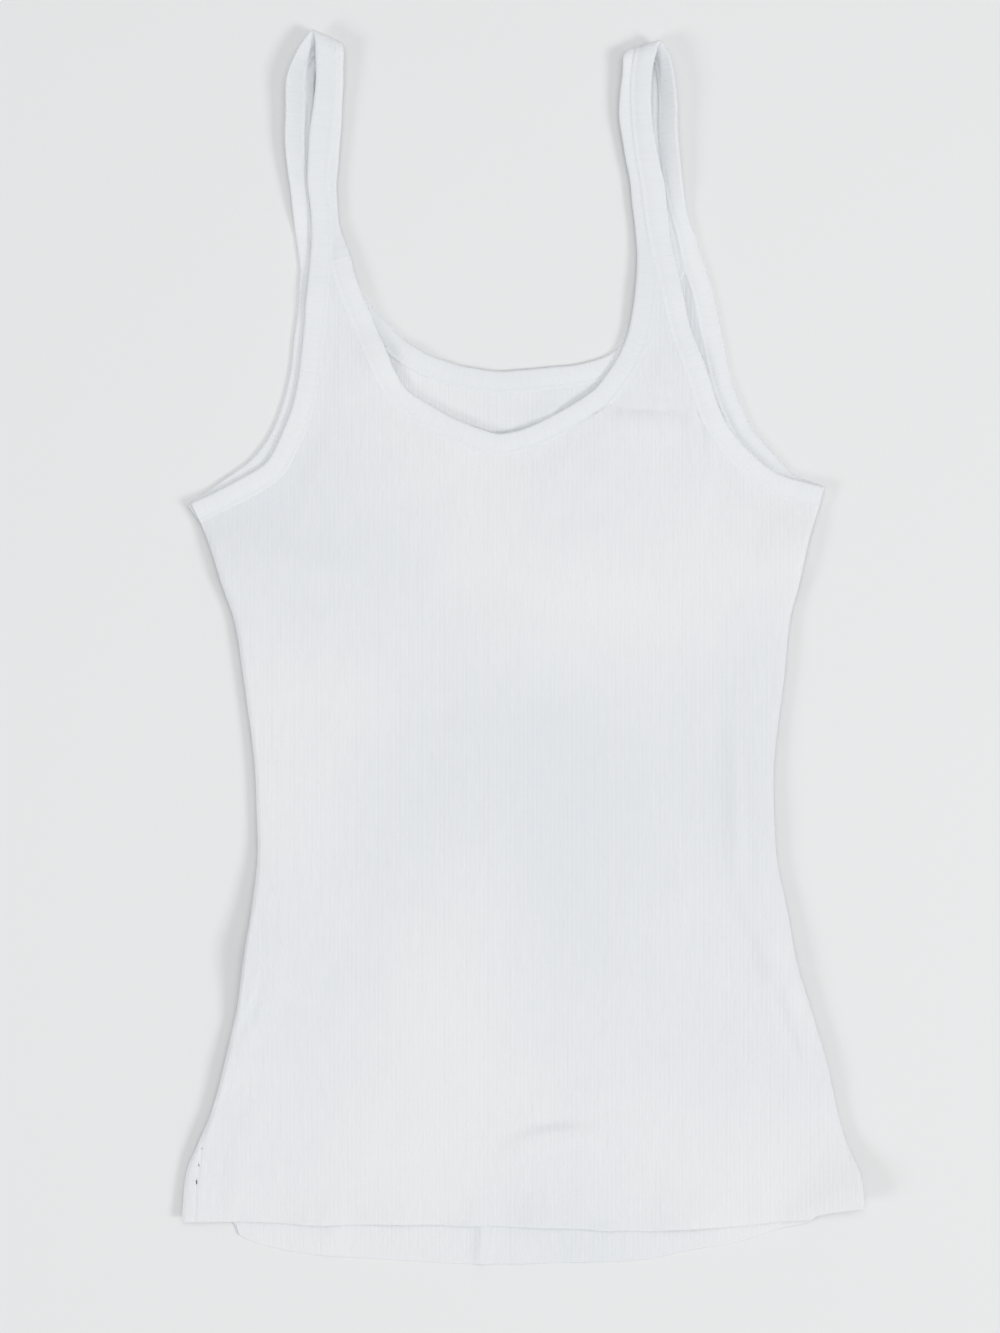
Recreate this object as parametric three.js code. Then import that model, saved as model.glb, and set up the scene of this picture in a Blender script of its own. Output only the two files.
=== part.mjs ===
// A ribbed tank top lying flat on a surface: a front and a back panel, bound round the neck and
// round each armhole. The armhole bindings run on past the panels as the shoulder straps.
// Millimetres. X runs across the body, Y from the hem up to the straps, Z up off the surface.
import * as THREE from 'three';

// Driving dimensions
const PANEL_WALL = 1; // one layer of rib knit
const BINDING_WALL = 2; // a strip folded round the raw edge of a panel
const SEAM_GAP = 0.3;
const STRAP_SEAM_GAP = 0.6; // between the two bindings of a strap, which twist over the shoulder
const ARMHOLE_BINDING_WIDTH = 10.3;
const NECK_BINDING_WIDTH = 10.5;

// Heights of the undersides. The back lies on the surface, the front on the back.
const FRONT_REST = PANEL_WALL + SEAM_GAP;
const FRONT_BINDING_REST = BINDING_WALL + SEAM_GAP;
const REST_RISE = { from: 15, to: 50 }; // y over which the front panel climbs onto the back bindings

// Divisions of the cloth
const ARMHOLE_STEPS = 10;
const NECK_STEPS = 20;
const STRAP_STEPS_PER_ROW = 3;
const YOKE_ROWS = 6; // from the yoke line up to the seams
const FRONT_BODY_ROWS = 18; // from the hem up to the yoke line
const BACK_BODY_ROWS = 12;
const YOKE_LINE = { left: 46, right: 54 }; // y at the two sides, just under the armholes

const COTTON = { color: 0xe8ebf0, roughness: 0.92, metalness: 0 };

// Turns rows of values into records with the named columns.
const table = (names, ...rows) =>
  rows.map((row) => Object.fromEntries(names.map((name, i) => [name, row[i]])));

// The two side seams: the x of each edge at a height y.
const SIDES = table(['y', 'left', 'right'],
  [-286, -170, 170],
  [-268, -168.8, 169.3],
  [-258, -166.8, 167],
  [-246, -161.5, 161.5],
  [-230, -154.8, 157],
  [-205, -148.3, 151.5],
  [-180, -142.5, 144],
  [-155, -139, 136.5],
  [-130, -135, 132],
  [-105, -132.3, 127],
  [-85, -132.6, 125.6],
  [-57, -133.8, 125.6],
  [-15, -139.3, 130.5],
  [14, -144, 133.5],
  [32, -150, 138],
  [54, -157, 142.8],
  [72, -164.5, 148.3],
);

// The two hems: the y of each edge at a distance x from the middle. The back is the longer.
const HEMS = table(['x', 'front', 'back'],
  [-170, -286, -284.5],
  [-150, -286, -285.5],
  [-143.5, -286, -288],
  [-141.5, -286, -293.5],
  [-120, -287, -300.7],
  [-99, -288, -303.5],
  [-61, -287.5, -306],
  [-20, -288.5, -308],
  [19, -289.5, -307.2],
  [59, -291, -306],
  [79, -290, -301.8],
  [109, -288.5, -296.5],
  [127, -286.3, -290.5],
  [144, -284.3, -286],
  [147.5, -282.3, -282.5],
  [170, -278, -277],
);

// Where each panel meets its bindings. An armhole seam runs from the side seam up to the point of
// the V between the bindings, and the neck seam from the left V to the right V.
const FRONT_SEAMS = {
  leftArmhole: table(['x', 'y'],
    [-161, 63.5], [-137, 75.5], [-121, 86], [-112, 101], [-106, 116],
    [-102, 134], [-99, 160], [-97.2, 180], [-96, 193.5]),
  neck: table(['x', 'y'],
    [-96, 193.5], [-92, 179], [-80, 150.5], [-73, 134.5], [-64, 121.5], [-42, 107.5], [-18, 98],
    [-4, 98.3], [14, 104.5], [39, 119], [50, 130.5], [60, 147.5], [65, 166], [67.5, 186.5]),
  rightArmhole: table(['x', 'y'],
    [67.5, 186.5], [70, 176], [74.5, 157.5], [82, 137], [87.5, 120],
    [94, 106], [107, 90.5], [124, 78], [142, 72.5], [148, 71]),
};
const BACK_SEAMS = {
  leftArmhole: table(['x', 'y'],
    [-161.5, 63.5], [-145, 75.5], [-130, 86.5], [-121, 97], [-113, 112],
    [-106.5, 135], [-103.5, 159], [-102, 175], [-101, 191]),
  neck: table(['x', 'y'],
    [-101, 191], [-93, 177], [-79, 160], [-67.5, 148.5], [-55, 140], [-38, 133], [-15, 128.8],
    [8.5, 130], [29, 132.5], [45, 136.5], [57, 144.5], [67, 156], [75, 172], [80.5, 191]),
  rightArmhole: table(['x', 'y'],
    [80.5, 191], [85, 178], [90, 154.5], [95, 132], [101, 116],
    [106.5, 104.5], [115, 95], [128.5, 79.8], [138.5, 74.3], [148, 71.2]),
};

// The straps, from the front V over the shoulder and down to the back V. Each row is a section:
// y at the armhole edge, x of the armhole edge, of the seam between the bindings and of the neck
// edge, slant as the rise in y from the armhole edge to the neck edge, and the three heights. The
// back half leans, with its armhole edge up and its neck edge low under the front half.
const STRAP_COLUMNS = ['y', 'arm', 'seam', 'neck', 'slant', 'armLift', 'seamLift', 'neckLift'];
const LEFT_STRAP = table(STRAP_COLUMNS,
  [209.5, -105.5, -95.6, -90.8, 0, 3.3, 3.3, 3.3],
  [222, -106.2, -96.6, -92.3, 0, 3.4, 3.4, 3.4],
  [235, -107.6, -97.6, -92.5, 0, 3.6, 3.6, 3.6],
  [254.5, -106.8, -96, -90.8, 0, 4.2, 4, 4],
  [274.5, -103.8, -94, -89.8, 0, 5.4, 5, 5],
  [290, -103.2, -93.7, -89.3, -1, 6.8, 6.2, 6],
  [302, -103.3, -93.9, -89.4, -3, 8, 7, 6.6],
  [307.5, -104.6, -95.2, -90.8, -5, 7.8, 5.4, 4.4],
  [306.4, -107, -98.6, -94.6, -5, 7.4, 3.2, 1.8],
  [298, -112.4, -106.4, -103, -4, 8, 2.6, 1],
  [284.5, -117.5, -111, -107.2, 0, 8.2, 2.4, 1],
  [268, -118.2, -110.8, -106.6, 0, 7.4, 2, 1],
  [249.5, -118.2, -110.4, -105.6, 0, 6, 1.6, 1],
  [224.5, -115.4, -107.6, -102.8, 0, 4, 1.2, 1],
  [208, -114, -105, -100.4, 0, 1, 1, 1],
);
const RIGHT_STRAP = table(STRAP_COLUMNS,
  [204.5, 74.3, 63.4, 56.7, 0, 3.3, 3.3, 3.3],
  [219.5, 72.5, 60.9, 55, 0, 3.4, 3.4, 3.4],
  [232, 71, 59.4, 53.6, 0, 3.6, 3.6, 3.6],
  [244.5, 68.1, 57, 51.5, 0, 4, 4, 4],
  [257, 65.7, 55.4, 49.3, 0, 4.6, 4.4, 4.4],
  [270, 64.3, 54.3, 48.1, 0, 5.4, 5, 5],
  [286, 64.5, 54.5, 49.6, -1, 6.8, 6.2, 6],
  [296.5, 66.4, 55.8, 50, -2, 8, 7, 6.6],
  [302, 68.6, 58.2, 52.8, -3, 7.8, 5.4, 4.4],
  [300.9, 70.8, 61.8, 57.4, -3, 7.4, 3.2, 1.8],
  [293.5, 74, 67.8, 64, -2.5, 8, 2.6, 1],
  [276, 76.6, 70.2, 66.2, 0, 8.2, 2.4, 1],
  [257, 77.4, 69.8, 65.4, 0, 7, 1.8, 1],
  [236, 79.6, 71.4, 66.8, 0, 5.4, 1.4, 1],
  [219, 82.4, 74, 69.2, 0, 2.6, 1.1, 1],
  [204, 87.6, 78, 72.4, 0, 1, 1, 1],
);

// The largest folds of the front panel, each a soft ridge along a line.
const FOLDS = table(['x1', 'y1', 'x2', 'y2', 'reach', 'height'],
  [-126, -118, -126, -176, 9, 1.8], // beside the left seam, under the waist
  [-127, -178, -150, -206, 9, 1.2], // its foot, turning out to the seam
  [107, -40, 109, -112, 9, 1.2], // beside the right seam, at the waist
  [112, -118, 132, -176, 10, 1.8], // the same, turning out below the waist
  [133, -178, 146, -212, 10, 1.2],
  [40, 108, 84, 110, 10, 1.5], // drag line from the right of the neck
  [-4, -246, 40, -243, 11, 1.2], // low arc near the hem
  [-104, 10, -90, -24, 12, 0.9], // drag lines under the left armhole
  [-60, -70, 10, 30, 26, 0.8], // broad slack across the chest
);

// A smooth function through two columns of a table.
function curveThrough(rows, along, across) {
  const slopeAt = rows.map((row, i) => {
    const before = rows[Math.max(i - 1, 0)];
    const after = rows[Math.min(i + 1, rows.length - 1)];
    return (after[across] - before[across]) / (after[along] - before[along]);
  });
  return (value) => {
    const last = rows.length - 2;
    const found = rows.findIndex((row) => row[along] > value) - 1;
    const i = found === -2 ? last : Math.max(found, 0);
    const start = rows[i];
    const span = rows[i + 1][along] - start[along];
    const t = THREE.MathUtils.clamp((value - start[along]) / span, 0, 1);
    const rise = rows[i + 1][across] - start[across];
    const lead = slopeAt[i] * span;
    const tail = slopeAt[i + 1] * span;
    const squared = 3 * rise - 2 * lead - tail;
    const cubed = lead + tail - 2 * rise;
    return start[across] + lead * t + squared * t ** 2 + cubed * t ** 3;
  };
}

// Evenly spaced points along the smooth line through a seam's rows.
const alongSeam = (rows, steps) =>
  new THREE.SplineCurve(rows.map(({ x, y }) => new THREE.Vector2(x, y))).getSpacedPoints(steps);

const leftSide = curveThrough(SIDES, 'y', 'left');
const rightSide = curveThrough(SIDES, 'y', 'right');
const HEM_CORNER = SIDES[0];

// Height of the front panel's underside.
function frontRest(x, y) {
  const climb = THREE.MathUtils.smoothstep(y, REST_RISE.from, REST_RISE.to);
  const rest = THREE.MathUtils.lerp(FRONT_REST, FRONT_BINDING_REST, climb);
  const here = new THREE.Vector3(x, y, 0);
  const raised = FOLDS.map((fold) => {
    const start = new THREE.Vector3(fold.x1, fold.y1, 0);
    const line = new THREE.Line3(start, new THREE.Vector3(fold.x2, fold.y2, 0));
    const distance = here.distanceTo(line.closestPointToPoint(here, true, new THREE.Vector3()));
    return fold.height * Math.exp(-((distance / fold.reach) ** 2));
  });
  return rest + Math.max(...raised);
}

// The seams of a panel, sampled once, so that the panel and its bindings share the same points.
const sampleSeams = (seams) => ({
  leftArmhole: alongSeam(seams.leftArmhole, ARMHOLE_STEPS),
  neck: alongSeam(seams.neck, NECK_STEPS),
  rightArmhole: alongSeam(seams.rightArmhole, ARMHOLE_STEPS),
});

// A closed mesh facing out, from points and triangles.
function closedMesh(name, points, triangles) {
  const volume = triangles.reduce((sum, [a, b, c]) => {
    const normal = new THREE.Vector3().crossVectors(points[b], points[c]);
    return sum + points[a].dot(normal);
  }, 0);
  const faces = volume > 0 ? triangles : triangles.map(([a, b, c]) => [a, c, b]);
  const geometry = new THREE.BufferGeometry();
  geometry.setAttribute('position', new THREE.Float32BufferAttribute(points.flatMap((p) => p.toArray()), 3));
  geometry.setIndex(faces.flat());
  geometry.computeVertexNormals();
  const mesh = new THREE.Mesh(geometry, new THREE.MeshStandardMaterial(COTTON));
  mesh.name = name;
  return mesh;
}

// A straight-line function through points that each have a column and an x.
function straightThrough(points) {
  return (column) => {
    const next = Math.max(points.findIndex((point) => point.column >= column), 1);
    const after = points[next];
    const before = points[next - 1];
    return THREE.MathUtils.mapLinear(column, before.column, after.column, before.x, after.x);
  };
}

// A panel in columns that run from the hem, past the waist, up to the armhole and neck seams.
function panelGrid(seams, hem, bodyRows) {
  const top = [...seams.leftArmhole, ...seams.neck.slice(1), ...seams.rightArmhole.slice(1)];
  const corners = [
    { column: 0, x: leftSide(YOKE_LINE.left) },
    { column: ARMHOLE_STEPS, x: top[ARMHOLE_STEPS].x },
    { column: ARMHOLE_STEPS + NECK_STEPS, x: top[ARMHOLE_STEPS + NECK_STEPS].x },
    { column: top.length - 1, x: rightSide(YOKE_LINE.right) },
  ];
  const yokeX = straightThrough(corners);
  const grid = [];
  for (let row = 0; row <= bodyRows; row += 1) {
    const up = row / bodyRows;
    const leftY = THREE.MathUtils.lerp(hem(HEM_CORNER.left), YOKE_LINE.left, up);
    const rightY = THREE.MathUtils.lerp(hem(HEM_CORNER.right), YOKE_LINE.right, up);
    grid.push(top.map((_, column) => {
      const share = (yokeX(column) - corners[0].x) / (corners[3].x - corners[0].x);
      const hemX = THREE.MathUtils.lerp(HEM_CORNER.left, HEM_CORNER.right, share);
      const yokeY = THREE.MathUtils.lerp(YOKE_LINE.left, YOKE_LINE.right, share);
      const x = THREE.MathUtils.lerp(leftSide(leftY), rightSide(rightY), share);
      return new THREE.Vector2(x, THREE.MathUtils.lerp(hem(hemX), yokeY, up));
    }));
  }
  const yoke = grid[bodyRows];
  for (let row = 1; row <= YOKE_ROWS; row += 1) {
    grid.push(top.map((seamPoint, column) => yoke[column].clone().lerp(seamPoint, row / YOKE_ROWS)));
  }
  return grid;
}

// A panel's wall: its grid at the height where it rests, and again one layer up.
function panel(name, grid, rest) {
  const across = grid[0].length;
  const under = grid.flat().map(({ x, y }) => new THREE.Vector3(x, y, rest(x, y)));
  const over = under.map((point) => point.clone().setZ(point.z + PANEL_WALL));
  const points = [...under, ...over];
  const triangles = [];
  const quad = (a, b, c, d) => triangles.push([a, b, c], [a, c, d]);
  for (let row = 0; row < grid.length - 1; row += 1) {
    for (let column = 0; column < across - 1; column += 1) {
      const a = row * across + column;
      const corners = [a, a + 1, a + 1 + across, a + across];
      quad(...corners.map((corner) => corner + under.length));
      quad(...corners.reverse());
    }
  }
  const lastRow = (grid.length - 1) * across;
  const rim = [
    ...Array.from({ length: across - 1 }, (_, i) => i),
    ...Array.from({ length: grid.length - 1 }, (_, i) => i * across + across - 1),
    ...Array.from({ length: across - 1 }, (_, i) => lastRow + across - 1 - i),
    ...Array.from({ length: grid.length - 1 }, (_, i) => lastRow - i * across),
  ];
  rim.forEach((a, i) => {
    const b = rim[(i + 1) % rim.length];
    quad(a, b, b + under.length, a + under.length);
  });
  return closedMesh(name, points, triangles);
}

// Sections of a binding along a seam: its seam edge, a gap off the panel, and its folded edge.
function bindingSections(seamPoints, width, height) {
  return seamPoints.map((point, i) => {
    const before = seamPoints[Math.max(i - 1, 0)];
    const after = seamPoints[Math.min(i + 1, seamPoints.length - 1)];
    const outward = new THREE.Vector2(before.y - after.y, after.x - before.x).normalize();
    const seam = point.clone().addScaledVector(outward, SEAM_GAP);
    const fold = point.clone().addScaledVector(outward, SEAM_GAP + width);
    return {
      seam: new THREE.Vector3(seam.x, seam.y, height),
      fold: new THREE.Vector3(fold.x, fold.y, height),
      facing: new THREE.Vector3(outward.x, outward.y, 0),
    };
  });
}

// The direction of a line of points at one of them.
const directionAt = (line, i) => line[Math.min(i + 1, line.length - 1)].clone().sub(line[Math.max(i - 1, 0)]);

// Sections of the two bindings that lie side by side in a strap. Where the strap is creased along
// the seam, both end there on one plane, square to the line from one outer edge to the other.
function strapSections(rows) {
  const smooth = (pick) =>
    new THREE.CatmullRomCurve3(rows.map(pick)).getPoints((rows.length - 1) * STRAP_STEPS_PER_ROW);
  const seamY = (row) => row.y + row.slant * ((row.seam - row.arm) / (row.neck - row.arm));
  const arm = smooth((row) => new THREE.Vector3(row.arm, row.y, row.armLift));
  const seam = smooth((row) => new THREE.Vector3(row.seam, seamY(row), row.seamLift));
  const neck = smooth((row) => new THREE.Vector3(row.neck, row.y + row.slant, row.neckLift));
  const sections = { armhole: [], neck: [] };
  seam.forEach((point, i) => {
    const toNeck = neck[i].clone().sub(arm[i]);
    const off = toNeck.clone().projectOnPlane(directionAt(seam, i).normalize()).setLength(STRAP_SEAM_GAP / 2);
    sections.armhole.push({ seam: point.clone().sub(off), fold: arm[i], facing: toNeck.clone().negate() });
    sections.neck.push({ seam: point.clone().add(off), fold: neck[i], facing: toNeck });
  });
  return sections;
}

// A binding's wall, with a rounded folded edge, never lower than the surface it lies on.
function binding(name, sections) {
  const seams = sections.map(({ seam }) => seam);
  const centres = sections.map(({ seam, fold }) => seam.clone().lerp(fold, 0.5));
  const points = sections.flatMap(({ seam, fold, facing }, i) => {
    const across = fold.clone().sub(seam).normalize();
    const half = directionAt(centres, i).cross(across).setLength(BINDING_WALL / 2);
    const halfAtSeam = directionAt(seams, i).cross(facing).setLength(BINDING_WALL / 2);
    const shoulder = fold.clone().addScaledVector(across, -BINDING_WALL / 2);
    return [
      seam.clone().sub(halfAtSeam),
      shoulder.clone().sub(half),
      fold.clone(),
      shoulder.clone().add(half),
      seam.clone().add(halfAtSeam),
    ];
  });
  points.forEach((point) => point.setZ(Math.max(point.z, 0)));
  const corners = points.length / sections.length;
  const triangles = [];
  for (let i = 0; i < sections.length - 1; i += 1) {
    for (let k = 0; k < corners; k += 1) {
      const a = i * corners + k;
      const b = i * corners + ((k + 1) % corners);
      triangles.push([a, b, b + corners], [a, b + corners, a + corners]);
    }
  }
  const end = points.length - corners;
  for (let k = 1; k < corners - 1; k += 1) {
    triangles.push([0, k + 1, k], [end, end + k, end + k + 1]);
  }
  return closedMesh(name, points, triangles);
}

const garment = new THREE.Group();

const frontSeams = sampleSeams(FRONT_SEAMS);
const backSeams = sampleSeams(BACK_SEAMS);
const frontGrid = panelGrid(frontSeams, curveThrough(HEMS, 'x', 'front'), FRONT_BODY_ROWS);
const backGrid = panelGrid(backSeams, curveThrough(HEMS, 'x', 'back'), BACK_BODY_ROWS);
garment.add(panel('front_panel', frontGrid, frontRest));
garment.add(panel('back_panel', backGrid, () => 0));

const FRONT_LEVEL = FRONT_BINDING_REST + BINDING_WALL / 2;
const BACK_LEVEL = BINDING_WALL / 2;
const straps = { left: strapSections(LEFT_STRAP), right: strapSections(RIGHT_STRAP) };

// Each armhole binding runs from the front underarm, over the shoulder, to the back underarm. The
// right armhole's seam is listed from its V down to the underarm, so it is turned round.
const upArmhole = {
  left: (seams, level) => bindingSections(seams.leftArmhole, ARMHOLE_BINDING_WIDTH, level),
  right: (seams, level) => bindingSections(seams.rightArmhole, ARMHOLE_BINDING_WIDTH, level).reverse(),
};
for (const side of ['left', 'right']) {
  garment.add(binding(`${side}_armhole_binding`, [
    ...upArmhole[side](frontSeams, FRONT_LEVEL),
    ...straps[side].armhole,
    ...upArmhole[side](backSeams, BACK_LEVEL).reverse(),
  ]));
}

// The neck bindings meet over the shoulders, at the highest row of each strap.
const shoulder = (rows) =>
  rows.findIndex((row) => row.y === Math.max(...rows.map(({ y }) => y))) * STRAP_STEPS_PER_ROW;
const leftTop = shoulder(LEFT_STRAP);
const rightTop = shoulder(RIGHT_STRAP);
garment.add(binding('front_neck_binding', [
  ...straps.left.neck.slice(0, leftTop).reverse(),
  ...bindingSections(frontSeams.neck, NECK_BINDING_WIDTH, FRONT_LEVEL),
  ...straps.right.neck.slice(0, rightTop),
]));
garment.add(binding('back_neck_binding', [
  ...straps.left.neck.slice(leftTop + 1),
  ...bindingSections(backSeams.neck, NECK_BINDING_WIDTH, BACK_LEVEL),
  ...straps.right.neck.slice(rightTop + 1).reverse(),
]));

export default garment;
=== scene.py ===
"""A white ribbed cotton tank top, laid flat with its front up.

The garment's sizes are in millimetres: X across the body, Y from the hem up to the straps and Z up
off the surface.
"""

import math

import bpy
import numpy as np
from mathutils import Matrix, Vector


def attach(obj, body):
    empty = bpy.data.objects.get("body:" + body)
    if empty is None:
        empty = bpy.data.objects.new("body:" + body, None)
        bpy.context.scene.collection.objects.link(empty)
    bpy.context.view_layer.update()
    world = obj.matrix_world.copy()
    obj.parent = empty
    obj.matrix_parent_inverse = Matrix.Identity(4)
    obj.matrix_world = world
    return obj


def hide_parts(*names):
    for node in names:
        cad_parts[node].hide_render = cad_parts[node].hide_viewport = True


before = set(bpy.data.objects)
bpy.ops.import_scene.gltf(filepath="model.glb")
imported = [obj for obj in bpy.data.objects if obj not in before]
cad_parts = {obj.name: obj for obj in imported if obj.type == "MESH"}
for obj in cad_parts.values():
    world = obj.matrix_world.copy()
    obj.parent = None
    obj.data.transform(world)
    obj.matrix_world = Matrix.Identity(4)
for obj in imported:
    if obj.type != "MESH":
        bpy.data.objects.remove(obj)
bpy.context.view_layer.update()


# ---------------------------------------------------------------------------------------------
# Rib knit. Both panels are cut from one white cotton rib, its ribs running from hem to shoulder.
# Each rib is a column of knitted loops that look like a row of small Vs, with a groove beside it.
# ---------------------------------------------------------------------------------------------
MM = 0.001
RIB_PITCH = 2.2
LOOP_DEPTH = 0.16  # how far the loops and fibres stand out at full relief


def math_node(tree, operation, *inputs):
    """A Math node with values or sockets put into it; returns its output."""
    node = tree.nodes.new("ShaderNodeMath")
    node.operation = operation
    for socket, value in zip(node.inputs, inputs):
        if isinstance(value, (int, float)):
            socket.default_value = value
        else:
            tree.links.new(value, socket)
    return node.outputs[0]


def knit_group():
    """Loops of knitted cotton on a place given in metres: X across a rib, Y along it."""
    tree = bpy.data.node_groups.new("Knit loops", "ShaderNodeTree")
    sockets = [
        ("INPUT", "Place", "NodeSocketVector", None),
        ("INPUT", "Loop Width", "NodeSocketFloat", 0.0011),
        ("INPUT", "Loop Height", "NodeSocketFloat", 0.0009),
        ("INPUT", "Relief", "NodeSocketFloat", 0.5),
        # Light Tone and Deep Tone are the two ends of the tone mix below: random patches and streaks, and
        # painted shade in the grooves between the loops.
        ("INPUT", "Light Tone", "NodeSocketColor", (0.86, 0.88, 0.91, 1)),
        ("INPUT", "Deep Tone", "NodeSocketColor", (0.8, 0.83, 0.88, 1)),
        ("OUTPUT", "Color", "NodeSocketColor", None),
        ("OUTPUT", "Roughness", "NodeSocketFloat", None),
        ("OUTPUT", "Normal", "NodeSocketVector", None),
    ]
    for direction, name, kind, default in sockets:
        socket = tree.interface.new_socket(name, in_out=direction, socket_type=kind)
        if default is not None:
            socket.default_value = default
    given = tree.nodes.new("NodeGroupInput").outputs
    result = tree.nodes.new("NodeGroupOutput").inputs

    # Each loop is a V: its height follows a wave that climbs away from the middle of its column.
    place = tree.nodes.new("ShaderNodeSeparateXYZ")
    tree.links.new(given["Place"], place.inputs[0])
    column = math_node(tree, "DIVIDE", place.outputs["X"], given["Loop Width"])
    within = math_node(tree, "FRACT", column)
    off_middle = math_node(tree, "ABSOLUTE", math_node(tree, "SUBTRACT", within, 0.5))
    course = math_node(tree, "DIVIDE", place.outputs["Y"], given["Loop Height"])
    phase = math_node(tree, "ADD", course, math_node(tree, "MULTIPLY", off_middle, -1.3))
    wave = math_node(tree, "SINE", math_node(tree, "MULTIPLY", phase, 2 * math.pi))
    edge = math_node(tree, "POWER", math_node(tree, "MULTIPLY", off_middle, 2.0), 3.0)
    loop = math_node(tree, "SUBTRACT", math_node(tree, "MULTIPLY", wave, 0.35), edge)

    # Loose fibres, slow changes where the cloth is tighter or slacker, and streaks along the ribs.
    def noise(place, scale, detail):
        node = tree.nodes.new("ShaderNodeTexNoise")
        node.inputs["Scale"].default_value = scale
        node.inputs["Detail"].default_value = detail
        tree.links.new(place, node.inputs["Vector"])
        return node.outputs["Fac"]

    fibres = noise(given["Place"], 2600.0, 3.0)
    slack = noise(given["Place"], 17.0, 2.0)
    patches = noise(given["Place"], 6.0, 1.0)
    drawn_out = tree.nodes.new("ShaderNodeVectorMath")
    drawn_out.operation = "MULTIPLY"
    drawn_out.inputs[1].default_value = (1, 0.11, 1)
    tree.links.new(given["Place"], drawn_out.inputs[0])
    streaks = noise(drawn_out.outputs[0], 640.0, 2.0)
    height = math_node(tree, "ADD", loop, math_node(tree, "MULTIPLY", fibres, 1.1))

    bump = tree.nodes.new("ShaderNodeBump")
    bump.inputs["Distance"].default_value = LOOP_DEPTH * MM
    tree.links.new(given["Relief"], bump.inputs["Strength"])
    tree.links.new(height, bump.inputs["Height"])
    tree.links.new(bump.outputs[0], result["Normal"])

    # Tone mix: random slow patches and streaks along the ribs, plus painted shade. The low parts of each
    # loop are painted towards the deep tone and its crest towards the light tone.
    tone_and_groove_shade = -1.75
    for part, weight in ((slack, 0.6), (patches, 2.9), (streaks, 0.9), (loop, -0.12)):
        tone_and_groove_shade = math_node(tree, "ADD", tone_and_groove_shade, math_node(tree, "MULTIPLY", part, weight))
    mix = tree.nodes.new("ShaderNodeMix")
    mix.data_type = "RGBA"
    tree.links.new(tone_and_groove_shade, mix.inputs["Factor"])
    tree.links.new(given["Light Tone"], mix.inputs["A"])
    tree.links.new(given["Deep Tone"], mix.inputs["B"])
    tree.links.new(mix.outputs["Result"], result["Color"])
    rough = math_node(tree, "ADD", math_node(tree, "MULTIPLY", fibres, 0.14), 0.82)
    tree.links.new(rough, result["Roughness"])
    return tree


KNIT = knit_group()


def cotton(name, place, loop_width, loop_height, relief, light, deep):
    """White cotton knit. place makes the socket that says where on the cloth a point is."""
    material = bpy.data.materials.new(name)
    material.use_nodes = True
    tree = material.node_tree
    shader = tree.nodes["Principled BSDF"]
    knit = tree.nodes.new("ShaderNodeGroup")
    knit.node_tree = KNIT
    tree.links.new(place(tree), knit.inputs["Place"])
    knit.inputs["Loop Width"].default_value = loop_width * MM
    knit.inputs["Loop Height"].default_value = loop_height * MM
    knit.inputs["Relief"].default_value = relief
    knit.inputs["Light Tone"].default_value = (*light, 1)
    knit.inputs["Deep Tone"].default_value = (*deep, 1)
    tree.links.new(knit.outputs["Color"], shader.inputs["Base Color"])
    tree.links.new(knit.outputs["Roughness"], shader.inputs["Roughness"])
    tree.links.new(knit.outputs["Normal"], shader.inputs["Normal"])
    shader.inputs["Sheen Weight"].default_value = 0.25
    shader.inputs["Sheen Roughness"].default_value = 0.6
    shader.inputs["Specular IOR Level"].default_value = 0.2
    return material


def place_on_panel(tree):
    return tree.nodes.new("ShaderNodeTexCoord").outputs["Object"]


rib_knit = cotton(
    "White cotton rib",
    place_on_panel,
    loop_width=RIB_PITCH / 2,
    loop_height=1.0,
    relief=0.45,
    light=(0.822, 0.838, 0.856),
    deep=(0.768, 0.79, 0.82),
)


# ---------------------------------------------------------------------------------------------
# Surface. A plain pale cloth, spread flat under the garment. It is only a stage, large enough to
# fill every view, and isn't part of the garment.
# ---------------------------------------------------------------------------------------------
def new_piece(name, points, faces, material):
    """A mesh piece of the garment, in metres."""
    mesh = bpy.data.meshes.new(name)
    mesh.from_pydata((np.asarray(points) * MM).tolist(), [], faces)
    mesh.validate()
    piece = bpy.data.objects.new(name, mesh)
    bpy.context.scene.collection.objects.link(piece)
    mesh.materials.append(material)
    mesh.shade_smooth()
    return piece


def plain_surface():
    material = bpy.data.materials.new("Pale surface")
    material.use_nodes = True
    shader = material.node_tree.nodes["Principled BSDF"]
    shader.inputs["Base Color"].default_value = (0.8, 0.8125, 0.8165, 1)
    shader.inputs["Roughness"].default_value = 0.9
    shader.inputs["Specular IOR Level"].default_value = 0.15
    return material


SURFACE_HALF = 9000
surface_corners = [(SURFACE_HALF * x, SURFACE_HALF * y, 0) for x, y in ((-1, -1), (1, -1), (1, 1), (-1, 1))]
floor = new_piece("surface", surface_corners, [(0, 1, 2, 3)], plain_surface())


# ---------------------------------------------------------------------------------------------
# Thread. White sewing thread in short straight stitches that sink into the cloth. Two rows hold
# each turned-up hem, and one row goes along each binding, through both of its faces.
# ---------------------------------------------------------------------------------------------
THREAD_WIDTH = 0.42
STITCH_LENGTH = 2.3
STITCH_GAP = 0.8
STITCH_SINK = 0.13  # how far the thread's middle lies under the face of the cloth
STITCH_SECTIONS = [  # share of its length, thickness, how much deeper it lies
    (0, 0.35, 1.5), (0.14, 0.85, 0.45), (0.5, 1, 0), (0.86, 0.85, 0.45), (1, 0.35, 1.5),
]
THREAD_SIDES = 6
PROBE = 6  # how far off a face a stitch's end is dropped from


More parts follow.
